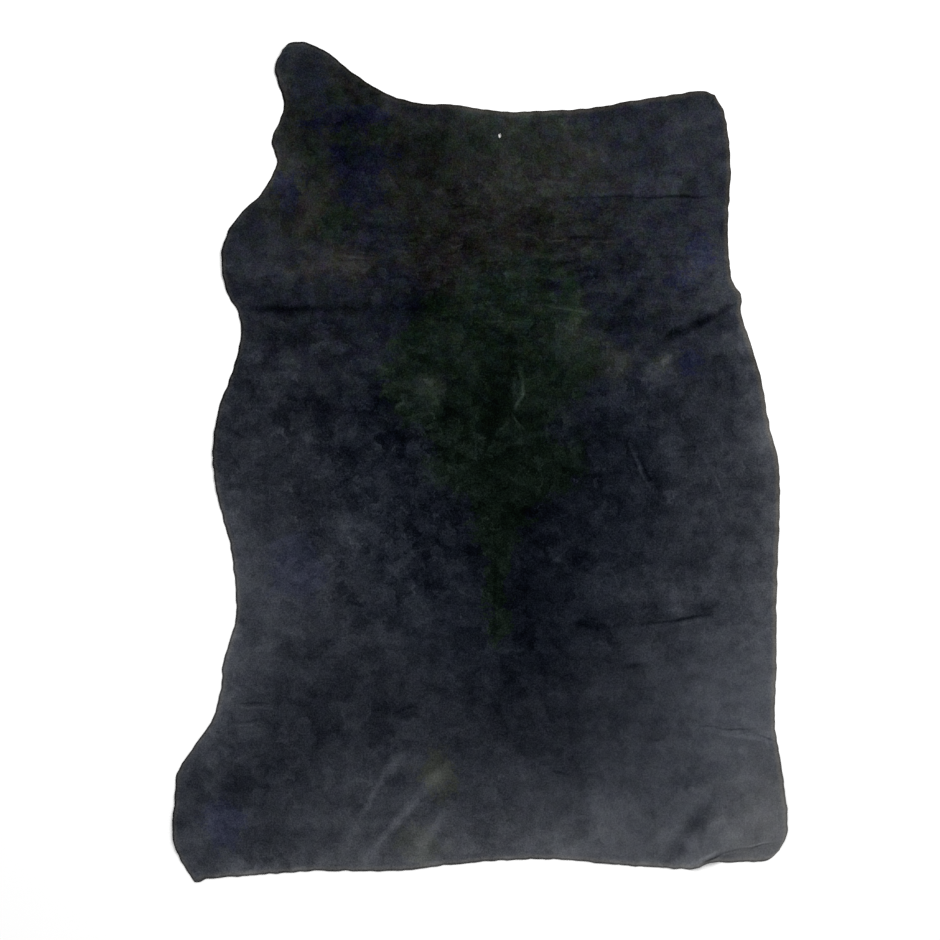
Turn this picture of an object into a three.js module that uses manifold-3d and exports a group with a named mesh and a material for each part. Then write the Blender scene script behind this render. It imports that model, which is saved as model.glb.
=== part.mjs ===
// A whole pigskin suede hide, laid out flat with its nap side up. Millimetres, +Z up.
// X runs across the hide, +Y from the rump to the neck. The origin is under the middle of the
// hide's box, on the surface that it lies on.
import * as THREE from "three";
import { mergeVertices } from "three/addons/utils/BufferGeometryUtils.js";
import Module from "manifold-3d";

// Driving dimensions
const THICKNESS = 1.2;
const COLUMNS = 40;
const EDGE_CROWDING = 0.4; // 0 spaces the columns evenly, 1 would crowd them all at the sides
const CREASE_REACH = 11; // how far the rows beside a crease row stand from it
const PRESSED_FLAT = 0.6; // what would stand up less than this lies flat under its own weight
const SUEDE = { color: 0x1c2327, roughness: 0.95, metalness: 0 };
const PIN_HOLE = { x: 33, y: 536, width: 4.4, length: 7.8, steps: 12 };

// The sides, from the rump to the neck: x of the edge at each height y.
const LEFT_SIDE = [
  { place: "rump corner", y: -688, x: -467 },
  { place: "hind leg heel", y: -668, x: -481 },
  { place: "hind leg", y: -632, x: -499 },
  { place: "hind leg point", y: -596, x: -504 },
  { place: "hind leg notch", y: -549, x: -500 },
  { place: "hind leg shin", y: -509, x: -496 },
  { place: "thigh", y: -465, x: -468 },
  { place: "thigh top", y: -424, x: -440 },
  { place: "flank", y: -368, x: -424 },
  { place: "flank dent", y: -329, x: -421 },
  { place: "flank rise", y: -293, x: -410 },
  { place: "waist", y: -244, x: -399 },
  { place: "belly end", y: -137, x: -409 },
  { place: "belly", y: -66, x: -428 },
  { place: "belly point", y: 9, x: -438 },
  { place: "belly front", y: 88, x: -428 },
  { place: "brisket", y: 145, x: -407 },
  { place: "elbow", y: 207, x: -392 },
  { place: "elbow top", y: 244, x: -396 },
  { place: "foreleg back", y: 280, x: -415 },
  { place: "foreleg point", y: 334, x: -424 },
  { place: "foreleg front", y: 375, x: -414 },
  { place: "shoulder", y: 412, x: -389 },
  { place: "shoulder top", y: 439, x: -360 },
  { place: "cheek notch", y: 491, x: -333 },
  { place: "cheek", y: 527, x: -341 },
  { place: "ear notch", y: 585, x: -321 },
  { place: "ear", y: 644, x: -336 },
  { place: "ear corner", y: 677, x: -323 },
];
const RIGHT_SIDE = [
  { place: "rump corner", y: -635, x: 492 },
  { place: "hind leg heel", y: -619, x: 500 },
  { place: "hind leg point", y: -596, x: 505 },
  { place: "hind leg", y: -537, x: 500 },
  { place: "hind leg shin", y: -472, x: 491 },
  { place: "thigh notch", y: -428, x: 484 },
  { place: "flank", y: -316, x: 487 },
  { place: "waist", y: -209, x: 487 },
  { place: "belly", y: -61, x: 492 },
  { place: "belly point", y: 7, x: 489 },
  { place: "belly front", y: 57, x: 476 },
  { place: "brisket", y: 139, x: 461 },
  { place: "elbow back", y: 184, x: 448 },
  { place: "elbow notch", y: 248, x: 428 },
  { place: "elbow point", y: 266, x: 430 },
  { place: "elbow front", y: 280, x: 426 },
  { place: "foreleg back", y: 293, x: 416 },
  { place: "foreleg", y: 316, x: 411 },
  { place: "foreleg dent", y: 390, x: 407 },
  { place: "shoulder", y: 472, x: 412 },
  { place: "cheek", y: 550, x: 406 },
  { place: "cheek top", y: 580, x: 398 },
  { place: "neck corner", y: 602, x: 385 },
];

// The ends and the creases, from left to right: y of the line at each x. A crease line goes on to
// both sides, so that a row of the sheet follows it all the way.
const RUMP_EDGE = [
  { place: "left corner", x: -467, y: -688 },
  { place: "left toe", x: -457, y: -687 },
  { place: "nick", x: -447, y: -683 },
  { place: "left leg", x: -347, y: -675 },
  { place: "left buttock", x: -278, y: -670 },
  { place: "left of the tail", x: -131, y: -669 },
  { place: "beside the tail", x: -52, y: -660 },
  { place: "tail", x: 46, y: -652 },
  { place: "right of the tail", x: 132, y: -651 },
  { place: "right buttock", x: 204, y: -658 },
  { place: "right leg", x: 345, y: -667 },
  { place: "tuck foot", x: 358, y: -664 },
  { place: "tuck", x: 379, y: -655 },
  { place: "past the tuck", x: 410, y: -656 },
  { place: "right toe", x: 466, y: -653 },
  { place: "right heel", x: 476, y: -650 },
  { place: "right corner", x: 492, y: -635 },
];
const NECK_EDGE = [
  { place: "ear corner", x: -323, y: 677 },
  { place: "ear top", x: -311, y: 687 },
  { place: "ear crown", x: -298, y: 689 },
  { place: "ear back", x: -282, y: 688 },
  { place: "ear slope", x: -246, y: 670 },
  { place: "jaw", x: -209, y: 640 },
  { place: "jaw foot", x: -170, y: 614 },
  { place: "throat", x: -131, y: 597 },
  { place: "throat foot", x: -86, y: 588 },
  { place: "left of the nape", x: -45, y: 587 },
  { place: "nape", x: 33, y: 576 },
  { place: "right of the nape", x: 107, y: 577 },
  { place: "mane", x: 184, y: 582 },
  { place: "right throat", x: 263, y: 595 },
  { place: "right jaw", x: 342, y: 607 },
  { place: "right jaw end", x: 366, y: 609 },
  { place: "right corner", x: 385, y: 602 },
];
const THIGH_LINE = [
  { place: "left side", x: -434, y: -409 },
  { place: "left thigh", x: -295, y: -419 },
  { place: "spine", x: -49, y: -426 },
  { place: "crease start", x: 260, y: -430 },
  { place: "crease arch", x: 345, y: -426 },
  { place: "crease end", x: 419, y: -434 },
  { place: "right side", x: 485, y: -449 },
];
const LOIN_LINE = [
  { place: "left side", x: -414, y: -308 },
  { place: "left loin", x: -131, y: -312 },
  { place: "spine", x: 17, y: -305 },
  { place: "crease start", x: 133, y: -294 },
  { place: "crease bend", x: 230, y: -267 },
  { place: "crease end", x: 383, y: -248 },
  { place: "right side", x: 487, y: -238 },
];
const ELBOW_LINE = [
  { place: "left side", x: -396, y: 253 },
  { place: "left crease end", x: -200, y: 247 },
  { place: "spine", x: 0, y: 216 },
  { place: "ribs", x: 132, y: 194 },
  { place: "right crease start", x: 300, y: 199 },
  { place: "right crease", x: 361, y: 229 },
  { place: "right side", x: 429, y: 262 },
];
const SHOULDER_LINE = [
  { place: "left side", x: -359, y: 434 },
  { place: "left shoulder", x: -213, y: 428 },
  { place: "spine", x: 0, y: 431 },
  { place: "crease start", x: 122, y: 435 },
  { place: "crease end", x: 379, y: 436 },
  { place: "right side", x: 409, y: 436 },
];

// The rows of the sheet from the rump up: each line, whether it is creased, and the number of rows
// from the line before it. A spread over 1 crowds them towards that line, under 1 towards this one.
const LINES = [
  { table: RUMP_EDGE, creased: false, rows: 0, spread: 1 },
  { table: THIGH_LINE, creased: true, rows: 12, spread: 1.35 },
  { table: LOIN_LINE, creased: true, rows: 6, spread: 1 },
  { table: ELBOW_LINE, creased: true, rows: 22, spread: 1 },
  { table: SHOULDER_LINE, creased: true, rows: 9, spread: 1 },
  { table: NECK_EDGE, creased: false, rows: 11, spread: 0.8 },
];

// The creases and wrinkles. Each runs straight from its start to its end, rises to its height in the
// middle and dies away at its ends. A ridge falls to the surface within its two reaches, left and
// right of its way.
const RIDGES = [
  { name: "shoulder crease", x0: 105, y0: 435, x1: 395, y1: 436, rise: 3.2, left: 34, right: 14 },
  { name: "low loin wrinkle", x0: -20, y0: -334, x1: 200, y1: -314, rise: 1.4, left: 26, right: 26 },
  { name: "rump tuck", x0: 345, y0: -676, x1: 432, y1: -622, rise: 6.0, left: 26, right: 11 },
  { name: "tuck wrinkle", x0: 372, y0: -636, x1: 520, y1: -616, rise: 3.4, left: 24, right: 16 },
  { name: "chest wrinkle", x0: -230, y0: 330, x1: -70, y1: 316, rise: 2.0, left: 26, right: 20 },
  { name: "rib wrinkle", x0: 60, y0: 336, x1: 270, y1: 320, rise: 2.2, left: 26, right: 20 },
  { name: "high rib wrinkle", x0: 150, y0: 388, x1: 330, y1: 372, rise: 1.6, left: 22, right: 18 },
  { name: "left flank wrinkle", x0: -420, y0: -392, x1: -310, y1: -372, rise: 2.0, left: 20, right: 18 },
  { name: "low flank wrinkle", x0: -420, y0: -434, x1: -300, y1: -420, rise: 1.8, left: 20, right: 18 },
  { name: "nape pull", x0: 33, y0: 520, x1: 33, y1: 592, rise: 1.6, left: 18, right: 18 },
];

// A furrow is a line on the surface between two banks of its height.
const FURROWS = [
  { name: "left elbow furrow", x0: -410, y0: 252, x1: -170, y1: 245, rise: 2.4, left: 44, right: 44 },
  { name: "right elbow furrow", x0: 285, y0: 192, x1: 440, y1: 268, rise: 3.4, left: 30, right: 30 },
  { name: "loin furrow", x0: 120, y0: -298, x1: 240, y1: -264, rise: 1.8, left: 34, right: 34 },
  { name: "loin crease", x0: 190, y0: -277, x1: 420, y1: -243, rise: 3.4, left: 24, right: 30 },
  { name: "thigh crease", x0: 240, y0: -431, x1: 345, y1: -426, rise: 2.6, left: 24, right: 24 },
  { name: "thigh crease end", x0: 330, y0: -425, x1: 478, y1: -448, rise: 2.4, left: 24, right: 24 },
  { name: "heel furrow", x0: 385, y0: -540, x1: 290, y1: -666, rise: 2.0, left: 32, right: 32 },
];

// Broad low swells and lifted corners: each a round-topped rise over an oval of these half sizes.
const SWELLS = [
  { name: "ear curl", x: -318, y: 690, halfWidth: 60, halfLength: 90, rise: 5.0 },
  { name: "neck corner curl", x: 392, y: 606, halfWidth: 60, halfLength: 55, rise: 3.6 },
  { name: "foreleg curl", x: -432, y: 336, halfWidth: 55, halfLength: 80, rise: 3.0 },
  { name: "left heel curl", x: -508, y: -600, halfWidth: 50, halfLength: 90, rise: 2.6 },
  { name: "right heel curl", x: 512, y: -560, halfWidth: 60, halfLength: 110, rise: 3.4 },
  { name: "right belly lift", x: 500, y: -120, halfWidth: 45, halfLength: 190, rise: 2.6 },
  { name: "left belly lift", x: -445, y: 10, halfWidth: 45, halfLength: 120, rise: 2.2 },
  { name: "neck swell", x: 190, y: 520, halfWidth: 120, halfLength: 70, rise: 2.2 },
  { name: "chest swell", x: -190, y: 150, halfWidth: 130, halfLength: 110, rise: 2.4 },
  { name: "rib swell", x: 250, y: 60, halfWidth: 140, halfLength: 120, rise: 2.2 },
  { name: "loin swell", x: -210, y: -480, halfWidth: 150, halfLength: 120, rise: 2.2 },
  { name: "rump swell", x: 150, y: -540, halfWidth: 120, halfLength: 90, rise: 2.0 },
];

const lerp = THREE.MathUtils.lerp;

// A smooth curve through a table's rows: each row's slope is that of the line past its neighbours.
function curveThrough(table, across, up) {
  const slopes = table.map((row, i) => {
    const before = table[Math.max(i - 1, 0)];
    const after = table[Math.min(i + 1, table.length - 1)];
    return (after[up] - before[up]) / (after[across] - before[across]);
  });
  return (at) => {
    const later = table.findIndex((row) => row[across] > at);
    const i = later < 0 ? table.length - 2 : Math.max(later - 1, 0);
    const span = table[i + 1][across] - table[i][across];
    const t = THREE.MathUtils.clamp((at - table[i][across]) / span, 0, 1);
    const turn = t * t * (3 - 2 * t);
    const leave = t * (1 - t) * (1 - t) * span * slopes[i];
    const arrive = t * t * (t - 1) * span * slopes[i + 1];
    return lerp(table[i][up], table[i + 1][up], turn) + leave + arrive;
  };
}

const leftSide = curveThrough(LEFT_SIDE, "y", "x");
const rightSide = curveThrough(RIGHT_SIDE, "y", "x");

// How far across the sheet each column stands, from 0 at the left side to 1 at the right.
const columnShares = Array.from({ length: COLUMNS + 1 }, (unused, i) => {
  const even = i / COLUMNS;
  return even - (EDGE_CROWDING * Math.sin(2 * Math.PI * even)) / (2 * Math.PI);
});

// The point where a line meets a side, found by going from one to the other a few times.
function meet(line, side, startX) {
  let x = startX;
  for (let turn = 0; turn < 8; turn++) x = side(line(x));
  return { x, y: line(x) };
}

// The points of one row that follows a line, raised by the given offset.
function lineRow({ table }, offset = 0) {
  const line = curveThrough(table, "x", "y");
  const raised = (x) => line(x) + offset;
  const first = table[0];
  const last = table[table.length - 1];
  const edge = table === RUMP_EDGE || table === NECK_EDGE;
  const start = edge ? first : meet(raised, leftSide, first.x);
  const end = edge ? last : meet(raised, rightSide, last.x);
  return columnShares.map((share) => {
    const x = lerp(start.x, end.x, share);
    return { x, y: raised(x) };
  });
}

// A row between two others, with its ends set on the sides.
function rowBetween(low, high, share) {
  const row = low.map((point, i) => ({
    x: lerp(point.x, high[i].x, share),
    y: lerp(point.y, high[i].y, share),
  }));
  const first = row[0];
  const last = row[row.length - 1];
  const [from, to] = [leftSide(first.y), rightSide(last.y)];
  const stretch = (to - from) / (last.x - first.x);
  return row.map(({ x, y }) => ({ x: from + (x - first.x) * stretch, y }));
}

// All rows, from the rump to the neck.
function sheetRows() {
  const rows = [];
  for (const line of LINES) {
    const offsets = line.creased ? [-CREASE_REACH, 0, CREASE_REACH] : [0];
    const group = offsets.map((offset) => lineRow(line, offset));
    const before = rows[rows.length - 1];
    for (let i = 1; i < line.rows; i++)
      rows.push(rowBetween(before, group[0], (i / line.rows) ** line.spread));
    rows.push(...group);
  }
  return rows;
}

// 1 at the middle and 0 from the rim on, level at both.
const dome = (share) => (share >= 1 ? 0 : (1 - share * share) ** 2);

// 0 at the middle and from the rim on, 1 half way between.
const bank = (share) => (share >= 1 ? 0 : Math.sin(Math.PI * share) ** 2);

// The height of a fold at a point, with the given profile from its line to its reach.
function foldHeight(fold, profile, x, y) {
  const length = Math.hypot(fold.x1 - fold.x0, fold.y1 - fold.y0);
  const alongX = (fold.x1 - fold.x0) / length;
  const alongY = (fold.y1 - fold.y0) / length;
  const along = (x - fold.x0) * alongX + (y - fold.y0) * alongY;
  const aside = (y - fold.y0) * alongX - (x - fold.x0) * alongY;
  const taper = dome(((2 * along) / length - 1) ** 2);
  const share = Math.abs(aside) / (aside > 0 ? fold.left : fold.right);
  return fold.rise * taper * profile(share);
}

const swellHeight = (swell, x, y) =>
  swell.rise * dome(Math.hypot((x - swell.x) / swell.halfWidth, (y - swell.y) / swell.halfLength));

// The height of the underside. Where two folds or two swells meet, the higher one counts.
function lift(x, y) {
  const ridge = Math.max(...RIDGES.map((row) => foldHeight(row, dome, x, y)));
  const furrow = Math.max(...FURROWS.map((row) => foldHeight(row, bank, x, y)));
  const swell = Math.max(...SWELLS.map((row) => swellHeight(row, x, y)));
  const height = Math.max(ridge, furrow) + swell;
  return height < PRESSED_FLAT ? 0 : height;
}

// The closed sheet: the underside's points, then the top's, and a wall round the rim.
function sheetGeometry() {
  const rows = sheetRows();
  const width = COLUMNS + 1;
  const layer = rows.length * width;
  const positions = [];
  for (const thickness of [0, THICKNESS])
    for (const row of rows)
      for (const { x, y } of row) positions.push(x, y, lift(x, y) + thickness);

  // Each quad is split along the flatter of its two diagonals.
  const faces = [];
  const height = (point) => positions[3 * point + 2];
  const quad = (a, b, c, d) => {
    const flatter = Math.abs(height(a) - height(c)) <= Math.abs(height(b) - height(d));
    faces.push(...(flatter ? [a, b, c, a, c, d] : [b, c, d, b, d, a]));
  };
  for (let r = 0; r + 1 < rows.length; r++)
    for (let c = 0; c < COLUMNS; c++) {
      const corner = r * width + c;
      quad(corner, corner + width, corner + width + 1, corner + 1);
      quad(layer + corner, layer + corner + 1, layer + corner + width + 1, layer + corner + width);
    }
  const rim = rimPoints(rows.length, width);
  rim.forEach((a, i) => {
    const b = rim[(i + 1) % rim.length];
    quad(a, b, layer + b, layer + a);
  });

  const geometry = new THREE.BufferGeometry();
  geometry.setAttribute("position", new THREE.Float32BufferAttribute(positions, 3));
  geometry.setIndex(faces);
  return geometry;
}

// The underside's rim points in order, anticlockwise seen from above.
function rimPoints(rowCount, width) {
  const rim = [];
  for (let c = 0; c < width - 1; c++) rim.push(c);
  for (let r = 0; r < rowCount - 1; r++) rim.push(r * width + width - 1);
  for (let c = width - 1; c > 0; c--) rim.push((rowCount - 1) * width + c);
  for (let r = rowCount - 1; r > 0; r--) rim.push(r * width);
  return rim;
}

// The slit that a hanging pin has torn near the nape, as a plug to cut out.
function pinHoleGeometry({ x, y, width, length, steps }) {
  const reach = 30;
  const oval = new THREE.Shape();
  oval.absellipse(x, y, width / 2, length / 2, 0, 2 * Math.PI);
  const plug = new THREE.ExtrudeGeometry(oval, {
    depth: 2 * reach,
    bevelEnabled: false,
    curveSegments: steps,
  });
  return plug.translate(0, 0, -reach);
}

const wasm = await Module();
wasm.setup();

function solidOf(geometry) {
  const bare = geometry.clone();
  bare.deleteAttribute("normal");
  bare.deleteAttribute("uv");
  const merged = mergeVertices(bare);
  return new wasm.Manifold(
    new wasm.Mesh({
      numProp: 3,
      vertProperties: merged.attributes.position.array,
      triVerts: new Uint32Array(merged.index.array),
    }),
  );
}

function geometryOf(solid) {
  const { vertProperties, triVerts } = solid.getMesh();
  const geometry = new THREE.BufferGeometry();
  geometry.setAttribute("position", new THREE.BufferAttribute(vertProperties, 3));
  geometry.setIndex(new THREE.BufferAttribute(triVerts, 1));
  geometry.computeVertexNormals();
  return geometry;
}

function pigskinHide() {
  const sheet = solidOf(sheetGeometry());
  const pierced = sheet.subtract(solidOf(pinHoleGeometry(PIN_HOLE)));
  const hide = new THREE.Mesh(geometryOf(pierced), new THREE.MeshStandardMaterial(SUEDE));
  hide.name = "pigskin_hide";
  return hide;
}

const part = new THREE.Group();
part.add(pigskinHide());

export default part;
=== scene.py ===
"""A whole pigskin suede hide laid out flat, nap side up, on a plain pale floor and seen from above.

Lengths in the tables are millimetres: x runs across the hide, y from the rump to the neck.
"""
import math

import bmesh
import bpy
import numpy as np
from bpy.props import FloatProperty, FloatVectorProperty, IntProperty, PointerProperty
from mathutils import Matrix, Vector, noise


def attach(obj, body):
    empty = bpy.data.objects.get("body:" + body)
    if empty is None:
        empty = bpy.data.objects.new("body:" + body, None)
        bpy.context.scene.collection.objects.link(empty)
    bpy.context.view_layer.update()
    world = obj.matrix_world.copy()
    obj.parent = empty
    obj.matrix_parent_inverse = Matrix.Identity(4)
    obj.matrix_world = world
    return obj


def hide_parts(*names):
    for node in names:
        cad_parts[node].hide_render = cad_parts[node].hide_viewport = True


bl_info = {
    "name": "Pigskin Hide",
    "version": (1, 0, 0),
    "blender": (4, 5, 0),
    "location": "3D View > Sidebar > Hide",
    "description": "Lays out a dyed pigskin suede hide on a plain studio floor",
    "category": "Add Mesh",
}

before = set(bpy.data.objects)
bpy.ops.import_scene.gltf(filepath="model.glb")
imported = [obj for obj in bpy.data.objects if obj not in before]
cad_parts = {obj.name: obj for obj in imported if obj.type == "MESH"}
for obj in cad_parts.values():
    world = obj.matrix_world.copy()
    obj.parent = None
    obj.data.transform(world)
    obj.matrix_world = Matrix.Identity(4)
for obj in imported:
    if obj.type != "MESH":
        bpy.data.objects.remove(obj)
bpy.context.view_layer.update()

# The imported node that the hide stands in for, and a millimetre in metres.
NODE = "pigskin_hide"
MM = 0.001

# The sheet's materials by number, and how many rows and columns one cell of the underside spans.
NAP, CUT_EDGE, FLESH = range(3)
UNDERSIDE_STEP = 2

# The bake map: most of it shows the nap side, the flesh side is drawn narrow and the edge is a strip.
MAP_FILL = 0.985
FLESH_MAP_START = (0.735, 0.0)
FLESH_MAP_SIZE = (0.235, MAP_FILL)
EDGE_MAP_START, EDGE_MAP_END = 0.98, 0.992

# The plug that cuts the pin hole: its sides, and how far it goes up and down.
PLUG_SIDES = 20
PLUG_REACH = 30 * MM

# The floor's half width, how far it lies under the hide, and where the soft light hangs, in metres.
FLOOR_HALF = 4.0
FLOOR_DROP = 0.0003
LIGHT_PLACE = (1.6, 1.9, 2.4)

# How many times to go to and fro when looking for the point where a line meets a side.
MEETING_ROUNDS = 8

# The sides, from the rump to the neck: place, height y, edge x.
LEFT_SIDE = (
    ("rump corner", -688, -467),
    ("hind leg heel", -668, -481),
    ("hind leg", -632, -499),
    ("hind leg point", -596, -504),
    ("hind leg notch", -549, -500),
    ("hind leg shin", -509, -496),
    ("thigh", -465, -468),
    ("thigh top", -424, -440),
    ("flank", -368, -424),
    ("flank dent", -329, -421),
    ("flank rise", -293, -410),
    ("waist", -244, -399),
    ("belly end", -137, -409),
    ("belly", -66, -428),
    ("belly point", 9, -438),
    ("belly front", 88, -428),
    ("brisket", 145, -407),
    ("elbow", 207, -392),
    ("elbow top", 244, -396),
    ("foreleg back", 280, -415),
    ("foreleg point", 334, -424),
    ("foreleg front", 375, -414),
    ("shoulder", 412, -389),
    ("shoulder top", 439, -360),
    ("cheek notch", 491, -333),
    ("cheek", 527, -341),
    ("ear notch", 585, -321),
    ("ear", 644, -336),
    ("ear corner", 677, -323),
)
RIGHT_SIDE = (
    ("rump corner", -635, 492),
    ("hind leg heel", -619, 500),
    ("hind leg point", -596, 505),
    ("hind leg", -537, 500),
    ("hind leg shin", -472, 491),
    ("thigh notch", -428, 484),
    ("flank", -316, 487),
    ("waist", -209, 487),
    ("belly", -61, 492),
    ("belly point", 7, 489),
    ("belly front", 57, 476),
    ("brisket", 139, 461),
    ("elbow back", 184, 448),
    ("elbow notch", 248, 428),
    ("elbow point", 266, 430),
    ("elbow front", 280, 426),
    ("foreleg back", 293, 416),
    ("foreleg", 316, 411),
    ("foreleg dent", 390, 407),
    ("shoulder", 472, 412),
    ("cheek", 550, 406),
    ("cheek top", 580, 398),
    ("neck corner", 602, 385),
)

# The ends and the crease lines, from left to right: place, x, height y.
RUMP_EDGE = (
    ("left corner", -467, -688),
    ("left toe", -457, -687),
    ("nick", -447, -683),
    ("left leg", -347, -675),
    ("left buttock", -278, -670),
    ("left of the tail", -131, -669),
    ("beside the tail", -52, -660),
    ("tail", 46, -652),
    ("right of the tail", 132, -651),
    ("right buttock", 204, -658),
    ("right leg", 345, -667),
    ("tuck foot", 358, -664),
    ("tuck", 379, -655),
    ("past the tuck", 410, -656),
    ("right toe", 466, -653),
    ("right heel", 476, -650),
    ("right corner", 492, -635),
)
NECK_EDGE = (
    ("ear corner", -323, 677),
    ("ear top", -311, 687),
    ("ear crown", -298, 689),
    ("ear back", -282, 688),
    ("ear slope", -246, 670),
    ("jaw", -209, 640),
    ("jaw foot", -170, 614),
    ("throat", -131, 597),
    ("throat foot", -86, 588),
    ("left of the nape", -45, 587),
    ("nape", 33, 576),
    ("right of the nape", 107, 577),
    ("mane", 184, 582),
    ("right throat", 263, 595),
    ("right jaw", 342, 607),
    ("right jaw end", 366, 609),
    ("right corner", 385, 602),
)
THIGH_LINE = (
    ("left side", -434, -409),
    ("left thigh", -295, -419),
    ("spine", -49, -426),
    ("crease start", 260, -430),
    ("crease arch", 345, -426),
    ("crease end", 419, -434),
    ("right side", 485, -449),
)
LOIN_LINE = (
    ("left side", -414, -308),
    ("left loin", -131, -312),
    ("spine", 17, -305),
    ("crease start", 133, -294),
    ("crease bend", 230, -267),
    ("crease end", 383, -248),
    ("right side", 487, -238),
)
ELBOW_LINE = (
    ("left side", -396, 253),
    ("left crease end", -200, 247),
    ("spine", 0, 216),
    ("ribs", 132, 194),
    ("right crease start", 300, 199),
    ("right crease", 361, 229),
    ("right side", 429, 262),
)
SHOULDER_LINE = (
    ("left side", -359, 434),
    ("left shoulder", -213, 428),
    ("spine", 0, 431),
    ("crease start", 122, 435),
    ("crease end", 379, 436),
    ("right side", 409, 436),
)

# The bands of the sheet from the rump up: the line that ends each, its rows, and which end they crowd to.
BANDS = (
    (THIGH_LINE, 60, "start"),
    (LOIN_LINE, 36, "even"),
    (ELBOW_LINE, 128, "even"),
    (SHOULDER_LINE, 48, "even"),
    (NECK_EDGE, 56, "end"),
)
BAND_CROWDING = 1.25

# How far the knife strays at the rim, and the length of its waves.
CUT_REACH = 1.7
CUT_WAVE = 13.0

# The creases and wrinkles, each straight from its start to its end:
# name, start x, start y, end x, end y, rise, reach on the left of its way, reach on the right.
# A ridge falls to the floor within its reaches.
RIDGES = (
    ("shoulder crease", 105, 435, 395, 436, 3.2, 34, 14),
    ("low loin wrinkle", -20, -334, 200, -314, 1.4, 26, 26),
    ("rump tuck", 345, -676, 432, -622, 6.0, 26, 11),
    ("tuck wrinkle", 372, -636, 520, -616, 3.4, 24, 16),
    ("chest wrinkle", -230, 330, -70, 316, 2.0, 26, 20),
    ("rib wrinkle", 60, 336, 270, 320, 2.2, 26, 20),
    ("high rib wrinkle", 150, 388, 330, 372, 1.6, 22, 18),
    ("left flank wrinkle", -420, -392, -310, -372, 2.0, 20, 18),
    ("low flank wrinkle", -420, -434, -300, -420, 1.8, 20, 18),
    ("nape pull", 33, 520, 33, 592, 1.6, 18, 18),
)

# A furrow lies on the floor between two banks.
FURROWS = (
    ("left elbow furrow", -410, 252, -170, 245, 2.4, 44, 44),
    ("right elbow furrow", 285, 192, 440, 268, 3.4, 30, 30),
    ("loin furrow", 120, -298, 240, -264, 1.8, 34, 34),
    ("loin crease", 190, -277, 420, -243, 3.4, 24, 30),
    ("thigh crease", 240, -431, 345, -426, 2.6, 24, 24),
    ("thigh crease end", 330, -425, 478, -448, 2.4, 24, 24),
    ("heel furrow", 385, -540, 290, -666, 2.0, 32, 32),
)

# Broad low swells and lifted corners: name, x, y, half width, half length, rise.
SWELLS = (
    ("ear curl", -318, 690, 60, 90, 5.0),
    ("neck corner curl", 392, 606, 60, 55, 3.6),
    ("foreleg curl", -432, 336, 55, 80, 3.0),
    ("left heel curl", -508, -600, 50, 90, 2.6),
    ("right heel curl", 512, -560, 60, 110, 3.4),
    ("right belly lift", 500, -120, 45, 190, 2.6),
    ("left belly lift", -445, 10, 45, 120, 2.2),
    ("neck swell", 190, 520, 120, 70, 2.2),
    ("chest swell", -190, 150, 130, 110, 2.4),
    ("rib swell", 250, 60, 140, 120, 2.2),
    ("loin swell", -210, -480, 150, 120, 2.2),
    ("rump swell", 150, -540, 120, 90, 2.0),
)

# How light or dark the dye left each part, with painted light and shade in the rows marked below: name, x,
# y, half width, half length, step.
# Each is an oval that is full in the middle and fades to its rim. Steps are of 255 on a screen.
BASE_TONE = 36
TONES_AND_PAINTED_LIGHT = (
    ("saddle", 0, 90, 380, 480, -18),
    ("saddle heart", 30, 40, 240, 330, -9),
    ("left of the saddle", -130, 250, 120, 90, -10),
    ("saddle top", -60, 270, 130, 80, -6),
    ("spine", 75, -250, 165, 310, -18),
    ("left neck", -220, 500, 300, 220, -16),
    ("jaw", -215, 575, 75, 55, -12),
    ("throat", -70, 510, 150, 80, -9),
    ("neck corner", -350, 485, 100, 85, 22),
    ("nape", -10, 370, 220, 100, -9),
    ("neck rim", 80, 620, 220, 95, 11),
    ("right cheek", 400, 510, 130, 130, 7),
    ("left shoulder", -290, 235, 160, 75, -9),
    ("left ribs", -230, 80, 190, 120, -7),
    ("left flank", -505, -250, 270, 350, 52),
    ("left loin", -275, -195, 105, 130, 12),
    ("left waist", -195, -125, 80, 70, 11),
    ("left belly", -430, 60, 50, 70, 8),
    ("left flank rim", -425, -265, 55, 55, 12),
    ("low left loin", -212, -280, 60, 60, 8),
    ("left of the spine", -85, -140, 55, 55, -7),
    ("right of the spine", 115, -143, 60, 55, 11),
    ("low back", -80, -340, 60, 50, -6),
    ("left knee", -480, -430, 130, 120, 18),
    ("left thigh", -250, -430, 150, 90, -1),
    ("left heel", -480, -620, 150, 160, 16),
    ("right elbow", 190, 310, 170, 110, -9),
    # Painted light: the right edge and right side grow brighter towards the right.
    ("right edge", 530, 200, 160, 230, 38),
    ("right side", 600, -80, 250, 540, 52),
    ("right loin", 210, -30, 150, 230, -10),
    ("right ribs", 385, -60, 70, 260, 7),
    ("right waist", 470, -190, 80, 120, 6),
    ("right nape", 225, 400, 90, 80, -9),
    ("right flank", 390, -350, 220, 200, 18),
    ("right thigh", 270, -465, 130, 80, 9),
    ("above the loin crease", 350, -205, 120, 50, 15),
    ("elbow point", 395, 315, 85, 90, 22),
    # Painted light: the hide grows brighter towards the rump.
    ("rump", 60, -870, 800, 450, 90),
    ("left rump rim", -370, -695, 250, 60, 26),
    ("right rump rim", 300, -690, 190, 45, 21),
    ("tail", 20, -615, 95, 88, -12),
    # Painted shade in the heel hollow.
    ("heel hollow", 378, -600, 55, 50, -9),
    ("left rump", -200, -520, 220, 110, 9),
    ("left buttock", -110, -470, 90, 50, 7),
    ("right buttock", 210, -560, 120, 110, 11),
    # Painted light: brightest at the right heel.
    ("right heel", 580, -580, 420, 440, 54),
)

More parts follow.
